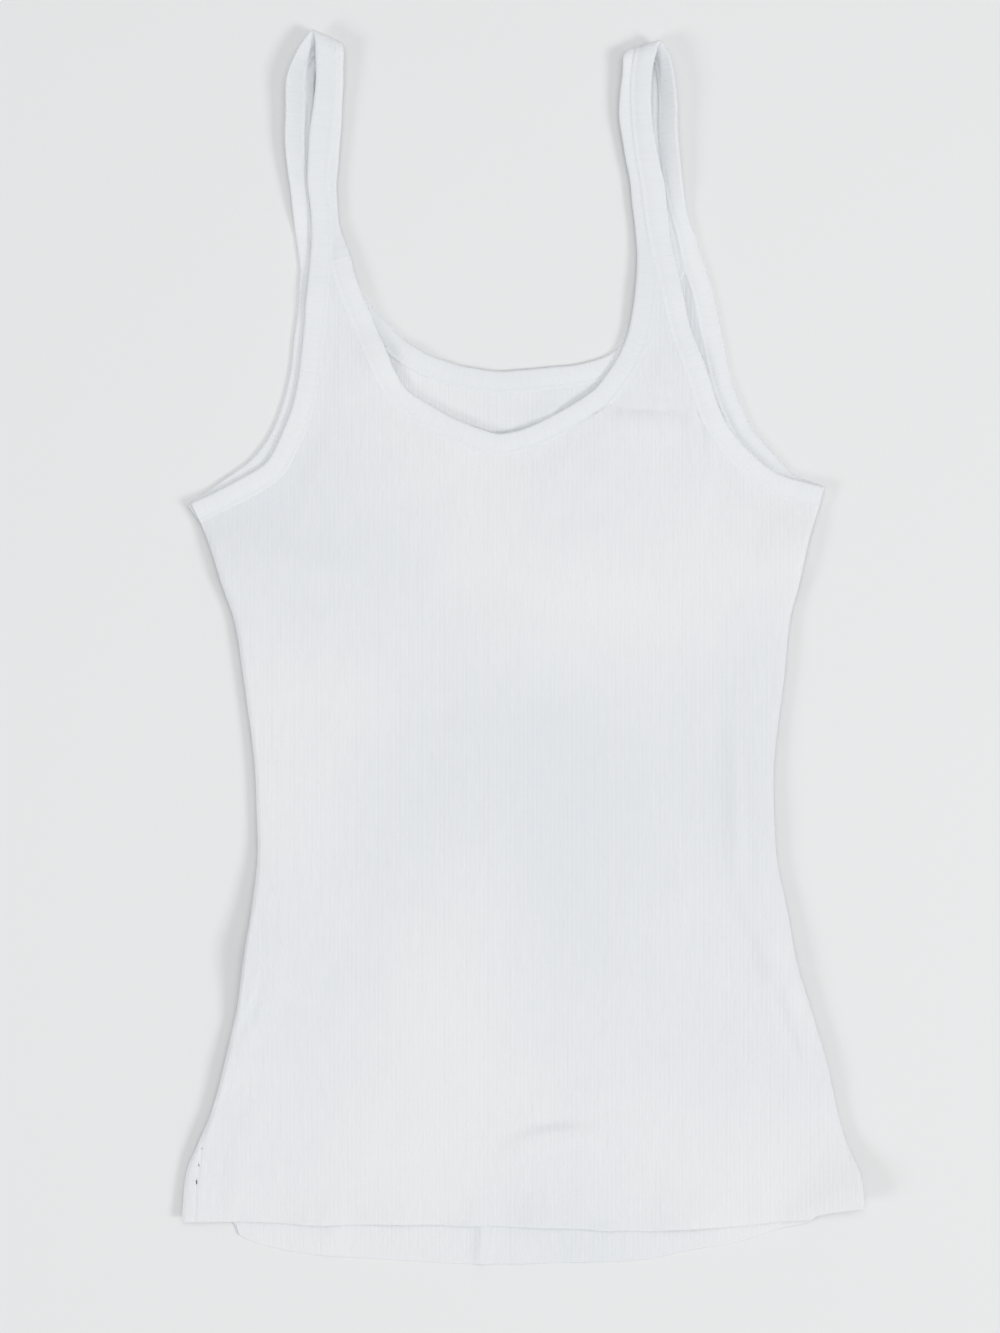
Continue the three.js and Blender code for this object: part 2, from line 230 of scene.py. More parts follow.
def thread_material():
    material = bpy.data.materials.new("White thread")
    material.use_nodes = True
    tree = material.node_tree
    shader = tree.nodes["Principled BSDF"]
    place = tree.nodes.new("ShaderNodeTexCoord").outputs["Object"]
    twist = tree.nodes.new("ShaderNodeTexNoise")
    twist.inputs["Scale"].default_value = 3200.0
    tree.links.new(place, twist.inputs["Vector"])
    tone = tree.nodes.new("ShaderNodeMix")
    tone.data_type = "RGBA"
    tone.inputs["A"].default_value = (0.84, 0.856, 0.874, 1)
    tone.inputs["B"].default_value = (0.79, 0.81, 0.835, 1)
    tree.links.new(twist.outputs["Fac"], tone.inputs["Factor"])
    tree.links.new(tone.outputs["Result"], shader.inputs["Base Color"])
    tree.links.new(math_node(tree, "ADD", twist.outputs["Fac"], 0.2), shader.inputs["Roughness"])
    shader.inputs["Specular IOR Level"].default_value = 0.25
    return material


WHITE_THREAD = thread_material()


def sewn(name, stitches):
    """Thread stitches, each from its start to its end on a face that looks along out."""
    points, faces = [], []
    count = THREAD_SIDES
    turns = np.linspace(0, 2 * math.pi, count, endpoint=False)
    for start, end, out in stitches:
        along = (end - start) / np.linalg.norm(end - start)
        side = np.cross(out, along) * THREAD_WIDTH / 2
        rise = out * THREAD_WIDTH / 2
        first = len(points)
        for share, size, sink in STITCH_SECTIONS:
            middle = start + (end - start) * share - out * (STITCH_SINK * (1 + sink))
            points += [middle + size * (side * math.cos(turn) + rise * math.sin(turn)) for turn in turns]
        last = len(points) - count
        for ring in range(first, last, count):
            for k in range(count):
                a, b = ring + k, ring + (k + 1) % count
                faces.append((a, a + count, b + count, b))
        faces += [tuple(range(first, first + count)), tuple(range(last, last + count))[::-1]]
    return new_piece(name, points, faces, WHITE_THREAD)


def on_face(piece, point, out):
    """Where a piece's face is first met on the way in to a point, against out."""
    hit, place, _, _ = piece.ray_cast(Vector((point + out * PROBE) * MM), Vector(-out))
    return np.array(place) / MM if hit else None


# ---------------------------------------------------------------------------------------------
# Back panel. One layer of the rib, cut a little longer than the front, lying on the surface with
# its raw neck and armhole edges held inside the bindings and its hem turned up and stitched.
# ---------------------------------------------------------------------------------------------
CLOTH_WALL = 1.0
RIB_DEPTH = 0.2  # from the groove to the crest
RIB_PROFILE = [(0, -1), (0.2, 0.35), (0.5, 1), (0.8, 0.35)]  # share of the pitch, height


def curve_through(along, across):
    """A smooth function through the points of a line."""
    u, v = np.array(along, float), np.array(across, float)
    before = np.maximum(np.arange(len(u)) - 1, 0)
    after = np.minimum(np.arange(len(u)) + 1, len(u) - 1)
    slope = (v[after] - v[before]) / (u[after] - u[before])

    def value(at):
        at = np.clip(at, u[0], u[-1])
        i = np.clip(np.searchsorted(u, at, side="right") - 1, 0, len(u) - 2)
        span = u[i + 1] - u[i]
        t = (at - u[i]) / span
        rise, lead, tail = v[i + 1] - v[i], slope[i] * span, slope[i + 1] * span
        return v[i] + lead * t + (3 * rise - 2 * lead - tail) * t**2 + (lead + tail - 2 * rise) * t**3

    return value


def smooth_spans(points, steps):
    """The spans of the smooth line through points. The first and the last only steer it."""
    t = np.linspace(0, 1, steps, endpoint=False)[:, None]
    spans = []
    for a, b, c, d in zip(points, points[1:], points[2:], points[3:]):
        bend = 2 * a - 5 * b + 4 * c - d
        spans.append(0.5 * (2 * b + (c - a) * t + bend * t**2 + (3 * b - a - 3 * c + d) * t**3))
    return spans


def line_through(points, spacing):
    """Points a spacing apart along the smooth line through a few given ones."""
    given = np.array(points, float)
    given = np.vstack([2 * given[0] - given[1], given, 2 * given[-1] - given[-2]])
    fine = np.vstack([*smooth_spans(given, 24), given[-2]])
    walked = np.r_[0, np.cumsum(np.linalg.norm(np.diff(fine, axis=0), axis=1))]
    at = np.linspace(0, walked[-1], max(round(walked[-1] / spacing), 2) + 1)
    return np.column_stack([np.interp(at, walked, column) for column in fine.T])


def smoothstep(value, low, high):
    t = np.clip((value - low) / (high - low), 0, 1)
    return t * t * (3 - 2 * t)


def unevenness(x, y, wavelength, seed, stretch=1.0):
    """Smooth hills and hollows between about -1 and 1. They are longer along Y by stretch."""
    draw = np.random.default_rng(seed)
    total = 0
    for _ in range(9):
        turn, start = draw.uniform(0, 2 * math.pi, 2)
        step = 2 * math.pi / (wavelength * draw.uniform(0.6, 1.7))
        total = total + np.sin(step * (x * math.cos(turn) + y * math.sin(turn) / stretch) + start)
    return total / 4


def measured_from(x, y, line):
    """Distance to a line of points, the share of its length walked there, and the side."""
    line = np.array(line, float)
    lengths = np.linalg.norm(np.diff(line, axis=0), axis=1)
    walked = np.r_[0, np.cumsum(lengths)]
    best = np.full(x.shape, np.inf)
    share, side = np.zeros(x.shape), np.ones(x.shape)
    for (ax, ay), (bx, by), length, start in zip(line, line[1:], lengths, walked):
        dx, dy = (bx - ax) / length, (by - ay) / length
        t = np.clip((x - ax) * dx + (y - ay) * dy, 0, length)
        off = np.hypot(x - ax - t * dx, y - ay - t * dy)
        near = off < best
        best = np.where(near, off, best)
        share = np.where(near, (start + t) / walked[-1], share)
        side = np.where(near, np.sign(dx * (y - ay) - dy * (x - ax)), side)
    return best, share, side


def creases(x, y, folds):
    """The height that the listed folds add: each has its line, its reach to the left and to the
    right of it, and its height, and dies away towards both ends."""
    total = np.zeros(x.shape)
    for line, left, right, height in folds:
        off, share, side = measured_from(x, y, line)
        reach = np.where(side > 0, left, right)
        ends = np.clip(np.sin(math.pi * np.clip(share, 0.001, 0.999)), 0, 1) ** 0.6
        beyond = np.exp(-((off / reach) ** 2))
        total += height * beyond * (0.25 + 0.75 * ends)
    return total


# y, left and right: the side seams
SIDES = np.array([
    (-286, -170, 170), (-268, -168.8, 169.3), (-258, -166.8, 167), (-246, -161.5, 161.5),
    (-230, -154.8, 157), (-205, -148.3, 151.5), (-180, -142.5, 144), (-155, -139, 136.5),
    (-130, -135, 132), (-105, -132.3, 127), (-85, -132.6, 125.6), (-57, -133.8, 125.6),
    (-15, -139.3, 130.5), (14, -144, 133.5), (32, -150, 138), (54, -157, 142.8), (72, -164.5, 148.3),
])
left_side = curve_through(SIDES[:, 0], SIDES[:, 1])
right_side = curve_through(SIDES[:, 0], SIDES[:, 2])
HEM_CORNER_Y = SIDES[0, 0]

# x, front and back: the hems
HEMS = np.array([
    (-170, -286, -284.5), (-150, -286, -285.5), (-143.5, -286, -288), (-141.5, -286, -293.5),
    (-120, -287, -300.7), (-99, -288, -303.5), (-61, -287.5, -306), (-20, -288.5, -308),
    (19, -289.5, -307.2), (59, -291, -306), (79, -290, -301.8), (109, -288.5, -296.5),
    (127, -286.3, -290.5), (144, -284.3, -286), (147.5, -282.3, -282.5), (170, -278, -277),
])

# Where the back panel meets its bindings, from the left underarm to the right one
BACK_LEFT_ARMHOLE = [
    (-161.5, 63.5), (-145, 75.5), (-130, 86.5), (-121, 97), (-113, 112),
    (-106.5, 135), (-103.5, 159), (-102, 175), (-101, 191),
]
BACK_NECK = [
    (-101, 191), (-93, 177), (-79, 160), (-67.5, 148.5), (-55, 140), (-38, 133), (-15, 128.8),
    (8.5, 130), (29, 132.5), (45, 136.5), (57, 144.5), (67, 156), (75, 172), (80.5, 191),
]
BACK_RIGHT_ARMHOLE = [
    (80.5, 191), (85, 178), (90, 154.5), (95, 132), (101, 116),
    (106.5, 104.5), (115, 95), (128.5, 79.8), (138.5, 74.3), (148, 71.2),
]

# Where the sides stand off the surface: side, y, reach along the side, height
SIDE_LIFTS = [
    ("left", -146, 40, 6.2), ("left", -222, 34, 3.2), ("left", -284, 20, 2.0), ("left", -66, 38, 2.4),
    ("left", -12, 34, 1.8), ("left", 40, 26, 2.6), ("right", -274, 20, 8.0), ("right", -214, 36, 2.8),
    ("right", -150, 36, 3.4), ("right", -80, 38, 3.0), ("right", -10, 36, 2.8), ("right", 48, 24, 3.2),
]
LIFT_REACH = 26  # how far in from the side a lift dies away
EDGE_ROLL = 2.2  # the width over which a side rounds down to its seam
SIDE_SPACING = 3.0  # between the points of a side seam
SEAM_SPACING = 1.5  # between the points of a bound edge
BELOW_HEM = -330  # outlines run down to here, past the hem
CUTTER_HEIGHTS = (-20, 40)


def bound_seam(left_armhole, neck, right_armhole):
    """A panel's bound edge from its left underarm to its right one."""
    lines = [line_through(line, SEAM_SPACING) for line in (left_armhole, neck, right_armhole)]
    return np.vstack([lines[0], lines[1][1:], lines[2][1:]])


BACK_SEAM = bound_seam(BACK_LEFT_ARMHOLE, BACK_NECK, BACK_RIGHT_ARMHOLE)


def from_sides(x, y):
    """Distances in from the left and from the right side."""
    return np.maximum(x - left_side(y), 0), np.maximum(right_side(y) - x, 0)


def side_lift(x, y):
    """How far the cloth near a side stands off the surface."""
    inside = dict(zip(("left", "right"), from_sides(x, y)))
    total = np.zeros(x.shape)
    for side, middle, reach, height in SIDE_LIFTS:
        along = np.exp(-(((y - middle) / reach) ** 2))
        total += height * along * np.exp(-((inside[side] / LIFT_REACH) ** 2))
    return total


def edge_roll(x, y):
    """1 at a side seam, falling to 0 where the cloth is flat."""
    inward = np.minimum(*from_sides(x, y))
    return np.clip(1 - inward / EDGE_ROLL, 0, 1) ** 2


def near_seam(x, y, seam, reach):
    """1 at a bound edge, falling to 0 at reach from it."""
    off, _, _ = measured_from(x, y, seam[::3])
    return 1 - smoothstep(off, 0, reach)


def outline(seam):
    """A panel's outline. It passes below the hem, which is a fold and isn't cut."""
    up = np.arange(HEM_CORNER_Y, SIDES[-1, 0], SIDE_SPACING)
    left = [(left_side(y), y) for y in up if y < seam[0][1] - 1]
    right = [(right_side(y), y) for y in up if y < seam[-1][1] - 1]
    below = [(SIDES[0, 1], BELOW_HEM), (SIDES[0, 2], BELOW_HEM)]
    return [*below, *right, *seam[::-1], *left[::-1]]


def cut_out(cloth, shape, gaps):
    """Cuts a slab of cloth to an outline and opens gaps in it."""
    for operation, shapes in (("INTERSECT", [shape]), ("DIFFERENCE", gaps)):
        if not shapes:
            continue
        points, faces = [], []
        for ring in shapes:
            first, count = len(points), len(ring)
            points += [(x, y, z) for z in CUTTER_HEIGHTS for x, y in ring]
            faces += [tuple(range(first, first + count))[::-1]]
            faces += [tuple(range(first + count, first + 2 * count))]
            for i in range(count):
                k, n = first + i, first + (i + 1) % count
                faces.append((k, n, n + count, k + count))
        cutter = new_piece("cutter", points, faces, cloth.data.materials[0])
        cut = cloth.modifiers.new("cut", "BOOLEAN")
        cut.operation = operation
        cut.solver = "MANIFOLD"
        cut.object = cutter
        shown = cloth.evaluated_get(bpy.context.evaluated_depsgraph_get())
        whole, cloth.data = cloth.data, bpy.data.meshes.new_from_object(shown)
        cloth.modifiers.clear()
        bpy.data.objects.remove(cutter)
        bpy.data.meshes.remove(whole)
        cloth.data.name = cloth.name
    cloth.data.shade_smooth()
    cloth.data.set_sharp_from_angle(angle=math.radians(55))


RIBS_EACH_SIDE = 78  # of the middle
HEM_STEPS = [0, 0.12, 0.35, 0.7, 1.2, 2, 3.2, 5]  # rows of the mesh round the hem's fold
CLOSE_ROWS = (6.6, 84, 1.6)  # from, to and apart: the rows over the hem
WIDE_ROWS = (84, 512, 4.1)  # and those over the rest of the panel
ROWS_TO_ONE_BELOW = 6  # past the fold the underside is meshed this much more coarsely
HEM_FOLD = 1.2  # how far in from the hem its fold is rounded
HEM_SWAY = 70  # how far up the rows follow the curve of the hem


def ribbed_panel(name, hem, seam, top, underside, gaps=()):
    """A panel of rib, from the heights of its two faces, cut to its outline."""
    ribs = np.arange(-RIBS_EACH_SIDE, RIBS_EACH_SIDE + 1)[:, None]
    x = ((ribs + [share for share, _ in RIB_PROFILE]) * RIB_PITCH).ravel()
    crest = np.tile([height for _, height in RIB_PROFILE], len(ribs))
    up = np.r_[HEM_STEPS, np.arange(*CLOSE_ROWS), np.arange(*WIDE_ROWS)]
    grid_x, grid_up = np.meshgrid(x, up)
    follow = 1 - smoothstep(grid_up, 0, HEM_SWAY)
    hem_y = hem(grid_x)
    grid_y = grid_up + hem_y * follow + HEM_CORNER_Y * (1 - follow)

    over, under = top(grid_x, grid_y), underside(grid_x, grid_y)
    fold = np.sqrt(1 - np.clip(1 - grid_up / HEM_FOLD, 0, 1) ** 2)
    broken = np.clip(0.55 + 0.8 * unevenness(grid_x, grid_y, 3, 5, 5), 0, 1.4)
    ribbing = RIB_DEPTH / 2 * crest * broken
    ribbing = ribbing * smoothstep(grid_up, 0.1, 2.5)  # the ribs die away into the fold
    middle, half = (over + under) / 2, (over - under) / 2
    over = middle + half * fold + ribbing
    under = middle - half * fold

    rows, columns = grid_x.shape
    past_fold = range(len(HEM_STEPS) + ROWS_TO_ONE_BELOW, rows - 1, ROWS_TO_ONE_BELOW)
    coarse = [*range(len(HEM_STEPS)), *past_fold, rows - 1]
    upper = np.dstack([grid_x, grid_y, over]).reshape(-1, 3)
    lower = np.dstack([grid_x, grid_y, under])[coarse[1:]].reshape(-1, 3)
    points = np.vstack([upper, lower])
    above = np.arange(rows * columns).reshape(rows, columns)
    below = np.vstack([above[0], np.arange(len(lower)).reshape(-1, columns) + len(upper)])
    faces = []
    for sheet, turn in ((above, 1), (below, -1)):
        corners = np.stack([sheet[:-1, :-1], sheet[:-1, 1:], sheet[1:, 1:], sheet[1:, :-1]], -1)
        faces += corners.reshape(-1, 4)[:, ::turn].tolist()
    for i, (start, end) in enumerate(zip(coarse, coarse[1:])):
        for column, turn in ((0, 1), (columns - 1, -1)):
            rim = [*above[start : end + 1, column], below[i + 1, column]]
            rim += [below[i, column]] if i else []
            faces.append([int(k) for k in rim[::turn]])
    for k in range(columns - 1):
        faces.append([int(n) for n in (above[-1, k], above[-1, k + 1], below[-1, k + 1], below[-1, k])])
    panel = new_piece(name, points, faces, rib_knit)
    cut_out(panel, outline(seam), gaps)
    return panel


HEM_ROWS = (18.0, 21.5)  # above the hem
FIRST_STITCH = -167.5
LAST_STITCH = 167
ROW_SHIFT = 1.3  # the second row starts this much later


def hem_stitches(name, panel, hem, level):
    """Two rows of stitches on a panel's hem, dropped onto it from a little above level."""
    up = np.array([0.0, 0.0, 1.0])
    stitches = []
    for row, above_hem in enumerate(HEM_ROWS):
        x = FIRST_STITCH + row * ROW_SHIFT
        while x < LAST_STITCH:
            ends = []
            for at in (x, x + STITCH_LENGTH):
                ends.append(on_face(panel, np.array([at, float(hem(at)) + above_hem, level]), up))
            if all(end is not None for end in ends):
                stitches.append((*ends, up))
            x += STITCH_LENGTH + STITCH_GAP
    return sewn(name, stitches)


# Each fold: its line, its reach to the left and to the right of that line, its height
BACK_CREASES = [
    ([(-21, -311), (-20, -298), (-19, -282)], 4, 3.5, 2.0),
    ([(-2, -311), (0, -296), (3, -284)], 7, 9, 0.9),
    ([(28, -309), (30, -296)], 9, 8, 0.6),
    ([(-98, -306), (-92, -288)], 7, 5, 1.0),
    ([(70, -301), (66, -286)], 7, 6, 0.4),
    ([(-24, 118), (8, 116), (20, 124)], 5, 8, 0.35),
    ([(-58, 128), (-44, 112), (-38, 92)], 8, 6, 0.3),
    ([(30, 126), (44, 112), (48, 96)], 6, 9, 0.35),
    ([(-96, -40), (-60, -64), (-20, -70)], 11, 14, 0.5),
    ([(96, -96), (60, -112), (30, -116)], 12, 10, 0.5),
    ([(-110, -190), (-84, -206), (-52, -210)], 10, 12, 0.4),
]

# The back panel stands off the surface here, by the neck: x, y, reach, height
BACK_LIFTS = [(-53, 149, 8, 3.4), (14, 116, 7, 1.2)]


def lifts(x, y, places):
    """The height that is added by round bumps."""
    total = np.zeros(np.shape(x))
    for at_x, at_y, reach, height in places:
        total = total + height * np.exp(-((x - at_x) ** 2 + (y - at_y) ** 2) / reach**2)
    return total


def back_edge_lift(x, y):
    return lifts(x, y, BACK_LIFTS)


def back_rest(x, y):
    """Height of the back panel's underside."""
    held = 0.5 * near_seam(x, y, BACK_SEAM, 7)  # up to the middle of the binding
    loose = 0.12 * (1 + unevenness(x, y, 60, 21)) * (1 - edge_roll(x, y))
    lifted = side_lift(x, y) + back_edge_lift(x, y)
    return lifted + held + loose + np.maximum(creases(x, y, BACK_CREASES), -0.1)


back_hem = curve_through(HEMS[:, 0], HEMS[:, 2])
back_panel = ribbed_panel(
    "back_panel_cloth",
    back_hem,
    BACK_SEAM,
    lambda x, y: back_rest(x, y) + CLOTH_WALL - 0.3 * edge_roll(x, y),
    lambda x, y: np.maximum(back_rest(x, y) + 0.25 * edge_roll(x, y), 0),
)
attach(back_panel, "root")
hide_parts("back_panel")
back_rows = hem_stitches("back_hem_stitches", back_panel, back_hem, 4.0)
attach(back_rows, "root")


# ---------------------------------------------------------------------------------------------
# Front panel. The same rib with a deeper scoop, lying on the back panel and joined to it along
# the sides by a seam inside. Below the left hip the seam has rolled round to the front.
# ---------------------------------------------------------------------------------------------
FRONT_LEFT_ARMHOLE = [
    (-161, 63.5), (-137, 75.5), (-121, 86), (-112, 101), (-106, 116),
    (-102, 134), (-99, 160), (-97.2, 180), (-96, 193.5),
]
FRONT_NECK = [
    (-96, 193.5), (-92, 179), (-80, 150.5), (-73, 134.5), (-64, 121.5), (-42, 107.5), (-18, 98),
    (-4, 98.3), (14, 104.5), (39, 119), (50, 130.5), (60, 147.5), (65, 166), (67.5, 186.5),
]
FRONT_RIGHT_ARMHOLE = [
    (67.5, 186.5), (70, 176), (74.5, 157.5), (82, 137), (87.5, 120),
    (94, 106), (107, 90.5), (124, 78), (142, 72.5), (148, 71),
]
FRONT_SEAM = bound_seam(FRONT_LEFT_ARMHOLE, FRONT_NECK, FRONT_RIGHT_ARMHOLE)
FRONT_REST = 1.3  # on the back panel
OVER_BINDINGS = 2.3  # on the back bindings
CLIMB = (15, 50)  # y over which it climbs from one to the other

# Folds, as on the back panel
FRONT_CREASES = [
    # beside the left seam, from the waist down to the hip: the cloth drops beside a rolled edge
    ([(-139.5, -120), (-137.5, -140), (-138, -160), (-143, -182)], 3, 6, 1.6),
    ([(-133, -126), (-132.5, -145), (-132, -164), (-135, -182)], 6, 4.5, -2.4),
    ([(-133, -170), (-137, -184), (-144, -193)], 4, 5, -1.4),
    ([(-126.5, -118), (-126, -140), (-126, -164), (-131, -184), (-138, -196)], 3.5, 18, 2.2),
    ([(-140, -198), (-144, -210), (-150, -228)], 6, 9, 0.9),
    # beside the right seam, out to the hip
    ([(106, -30), (107, -70), (109, -112), (115, -136)], 12, 6, 1.6),
    ([(111, -44), (112, -90), (113, -122), (122, -141)], 4, 4, -0.7),
    ([(114, -128), (122, -150), (128, -172), (136, -196)], 12, 6, 1.7),
    ([(124, -166), (129, -182), (137, -204)], 4, 4, -1.5),
    # drag lines from the right of the neck
    ([(35, 117), (46, 116), (62, 114), (86, 112)], 6, 10, 1.9),
    ([(42, 122), (50, 125), (66, 123), (82, 119)], 4.5, 4.5, -1.1),
    ([(87, 120), (88, 110), (91, 99)], 2.5, 3, -1.4),
    ([(84, 121), (84, 109), (86, 96)], 3, 3, 0.9),
    ([(93, 112), (92, 96), (88, 62)], 5, 11, 0.9),
    # the low arc near the hem
    ([(-6, -248), (8, -242), (24, -240.5), (42, -244)], 4.5, 10, 1.9),
    ([(-4, -243), (10, -237.5), (28, -236.5)], 4, 3.5, -0.9),
    # drag lines under the left armhole
    ([(-112, 26), (-104, 6), (-96, -14), (-92, -30)], 9, 10, 1.3),
    ([(-128, 48), (-112, 40), (-90, 38)], 9, 7, 0.8),
    # slack across the chest and the belly
    ([(-66, -76), (-36, -36), (0, 16), (34, 62)], 20, 34, 1.3),
    ([(6, 12), (20, 8), (34, 2)], 6, 9, 0.5),
    ([(-58, 70), (-44, 52), (-38, 28)], 12, 10, 0.6),
    ([(52, -66), (70, -100), (80, -140)], 15, 20, 0.8),
    ([(-84, -110), (-70, -150), (-66, -190)], 18, 14, 0.9),
    ([(60, -200), (92, -214), (118, -222)], 10, 13, 0.8),
    ([(-36, -150), (4, -168), (40, -170)], 14, 12, 0.6),
    ([(-96, -230), (-60, -238), (-30, -232)], 10, 14, 0.6),
    # puckers along the hem
    ([(-105, -290), (-103, -280)], 3, 4, -0.6),
    ([(-142, -288), (-139, -276)], 5, 4, -0.6),
    ([(-98, -289), (-95, -272)], 5, 6, 0.6),
    ([(-31, -290), (-29, -281)], 2.5, 3, -0.7),
    ([(-24, -290), (-22, -272)], 5, 5, 0.5),
    ([(40, -292), (41, -282)], 3, 4, -0.6),
    ([(74, -290), (70, -270)], 6, 6, 0.5),
    ([(120, -288), (118, -268)], 6, 7, 0.6),
]

# It stands off the back panel here, at its neck, armholes, left hip and hem: x, y, reach, height
EDGE_LIFTS = [
    (-65, 147, 12, 5.0), (30, 131, 9, 3.2), (5, 113, 8, 2.8), (-30, 108, 16, 0.8), (60, 178, 16, 0.8),
    (82, 178, 9, 2.4), (91, 145, 10, 1.8), (102, 116, 9, 1.6), (-104, 178, 12, 1.6),
    (-146, -252, 26, 2.2), (-160, -290, 15, 1.6), (-104, -291, 10, 2.7), (-62, -292, 13, 2.0),
    (-30, -293, 7, 2.6), (8, -294, 14, 2.1), (40, -294, 8, 2.7), (82, -292, 16, 2.3),
    (140, -288, 12, 1.6),
]

# The seam that rolled round to the front, from the hip down to the hem, and the gaps in it
ROLLED_SEAM = [
    (-141, -214), (-147, -222), (-153.5, -229), (-159, -244), (-161.5, -258), (-163, -270), (-164, -287),
]
ROLLED_EDGE = [
    (-138, -206), (-143, -216), (-149, -230), (-154, -248), (-156, -262), (-157, -274), (-157.5, -287),
]
SEAM_GAPS = [  # x, y, half its width, half its length
    (-159.8, -249, 0.22, 0.6), (-161.4, -257.5, 0.28, 0.8), (-162.6, -266, 0.42, 1.2),
]


ROLL_STARTS = (206, 226)  # -y over which the side rolls over
STRIP_HEIGHT, STRIP_ROUNDING = 1.6, 2.2
HOLLOW_DEPTH, HOLLOW_REACH = 2.2, 8
GROOVE_DEPTH, GROOVE_REACH = 0.5, 0.9


def rolled_strip(x, y):
    """The raised strip outside the rolled seam and the hollow on its inner side."""
    edge, _, side = measured_from(x, y, line_through(ROLLED_EDGE, 3))
    strip = STRIP_HEIGHT * np.where(side < 0, 1 - np.exp(-((edge / STRIP_ROUNDING) ** 2)), 0)
    hollow = -HOLLOW_DEPTH * np.where(side > 0, np.exp(-((edge / HOLLOW_REACH) ** 2)), 1)
    return smoothstep(-y, *ROLL_STARTS) * (strip + hollow)


def seam_groove(x, y):
    seam, _, _ = measured_from(x, y, line_through(ROLLED_SEAM, 3))
    return -GROOVE_DEPTH * smoothstep(-y, *ROLL_STARTS) * np.exp(-((seam / GROOVE_REACH) ** 2))


def gap_outline(x, y, wide, high):
    turns = np.linspace(0, 2 * math.pi, 10, endpoint=False)
    return [(x + wide * math.cos(turn), y + high * math.sin(turn)) for turn in turns]


def front_rest(x, y):
    """Height of the front panel's underside, kept clear of the back panel."""
    rest = FRONT_REST + (OVER_BINDINGS - FRONT_REST) * smoothstep(y, *CLIMB)
    held = 0.75 * near_seam(x, y, FRONT_SEAM, 7)
    loose = 0.9 + 0.5 * unevenness(x, y, 80, 3) + 0.14 * unevenness(x, y, 26, 8)
    loose *= 1 - near_seam(x, y, FRONT_SEAM, 13)
    flat = 1 - edge_roll(x, y)
    height = rest + held + loose * flat + creases(x, y, FRONT_CREASES) * (0.3 + 0.7 * flat)
    height += rolled_strip(x, y)
    height = np.maximum(height, rest - 0.15) + lifts(x, y, EDGE_LIFTS) + side_lift(x, y)
    return height - 0.3 * edge_roll(x, y)


front_hem = curve_through(HEMS[:, 0], HEMS[:, 1])
front_panel = ribbed_panel(
    "front_panel_cloth",
    front_hem,
    FRONT_SEAM,
    lambda x, y: front_rest(x, y) + CLOTH_WALL - 0.2 * edge_roll(x, y) + seam_groove(x, y),
    front_rest,
    gaps=[gap_outline(*gap) for gap in SEAM_GAPS],
)
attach(front_panel, "root")
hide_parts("front_panel")
front_rows = hem_stitches("front_hem_stitches", front_panel, front_hem, 12.0)
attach(front_rows, "root")


# ---------------------------------------------------------------------------------------------
# Armhole bindings. A strip of the same rib, its ribs running across it, folded in four round the
# raw edge of both panels and stitched; it runs on over the shoulder as the outer part of the strap.
# ---------------------------------------------------------------------------------------------
BINDING_WALL = 2.0
ARMHOLE_WIDTH = 10.3
FRONT_LEVEL = OVER_BINDINGS + BINDING_WALL / 2
BACK_LEVEL = BINDING_WALL / 2
SECTION_SPACING = 6.0  # between the sections that a binding is drawn through
FINE_SPACING = 0.6

# Sections of the straps from the front V over the shoulder to the back V: y of the armhole edge,
# x of the armhole edge, the seam and the neck edge, rise in y across, and the three heights.
LEFT_STRAP = np.array([
    (209.5, -105.5, -95.6, -90.8, 0, 3.3, 3.3, 3.3),
    (222, -106.2, -96.6, -92.3, 0, 3.4, 3.4, 3.4),
    (235, -107.6, -97.6, -92.5, 0, 3.6, 3.6, 3.6),
    (254.5, -106.8, -96, -90.8, 0, 4.2, 4, 4),
    (274.5, -103.8, -94, -89.8, 0, 5.4, 5, 5),
    (290, -103.2, -93.7, -89.3, -1, 6.8, 6.2, 6),
    (302, -103.3, -93.9, -89.4, -3, 8, 7, 6.6),
    (307.5, -104.6, -95.2, -90.8, -5, 7.8, 5.4, 4.4),
    (306.4, -107, -98.6, -94.6, -5, 7.4, 3.2, 1.8),
    (298, -112.4, -105.2, -101.2, -4, 8, 2.6, 1),
    (284.5, -117.5, -109.2, -103.8, 0, 8.2, 2.4, 1),
    (268, -118.2, -109, -103.6, 0, 7.4, 2, 1),
    (249.5, -118.2, -109, -103.4, 0, 6, 1.6, 1),
    (224.5, -115.4, -106.8, -101.6, 0, 4, 1.2, 1),
    (208, -114, -105, -100.4, 0, 1, 1, 1),
])
RIGHT_STRAP = np.array([
    (204.5, 74.3, 63.4, 56.7, 0, 3.3, 3.3, 3.3),
    (219.5, 72.5, 60.9, 55, 0, 3.4, 3.4, 3.4),
    (232, 71, 59.4, 53.6, 0, 3.6, 3.6, 3.6),
    (244.5, 68.1, 57, 51.5, 0, 4, 4, 4),
    (257, 65.7, 55.4, 49.3, 0, 4.6, 4.4, 4.4),
    (270, 64.3, 54.3, 48.1, 0, 5.4, 5, 5),
    (286, 64.5, 54.5, 49.6, -1, 6.8, 6.2, 6),
    (296.5, 66.4, 55.8, 50, -2, 8, 7, 6.6),
    (302, 68.6, 58.2, 52.8, -3, 7.8, 5.4, 4.4),
    (300.9, 70.8, 61.8, 57.4, -3, 7.4, 3.2, 1.8),
    (293.5, 74, 66.6, 62.2, -2.5, 8, 2.6, 1),
    (276, 76.6, 68.4, 63, 0, 8.2, 2.4, 1),
    (257, 77.4, 68.4, 63.2, 0, 7, 1.8, 1),
    (236, 79.6, 70.8, 65.6, 0, 5.4, 1.4, 1),
    (219, 82.4, 74, 69.2, 0, 2.6, 1.1, 1),
    (204, 87.6, 78, 72.4, 0, 1, 1, 1),
])


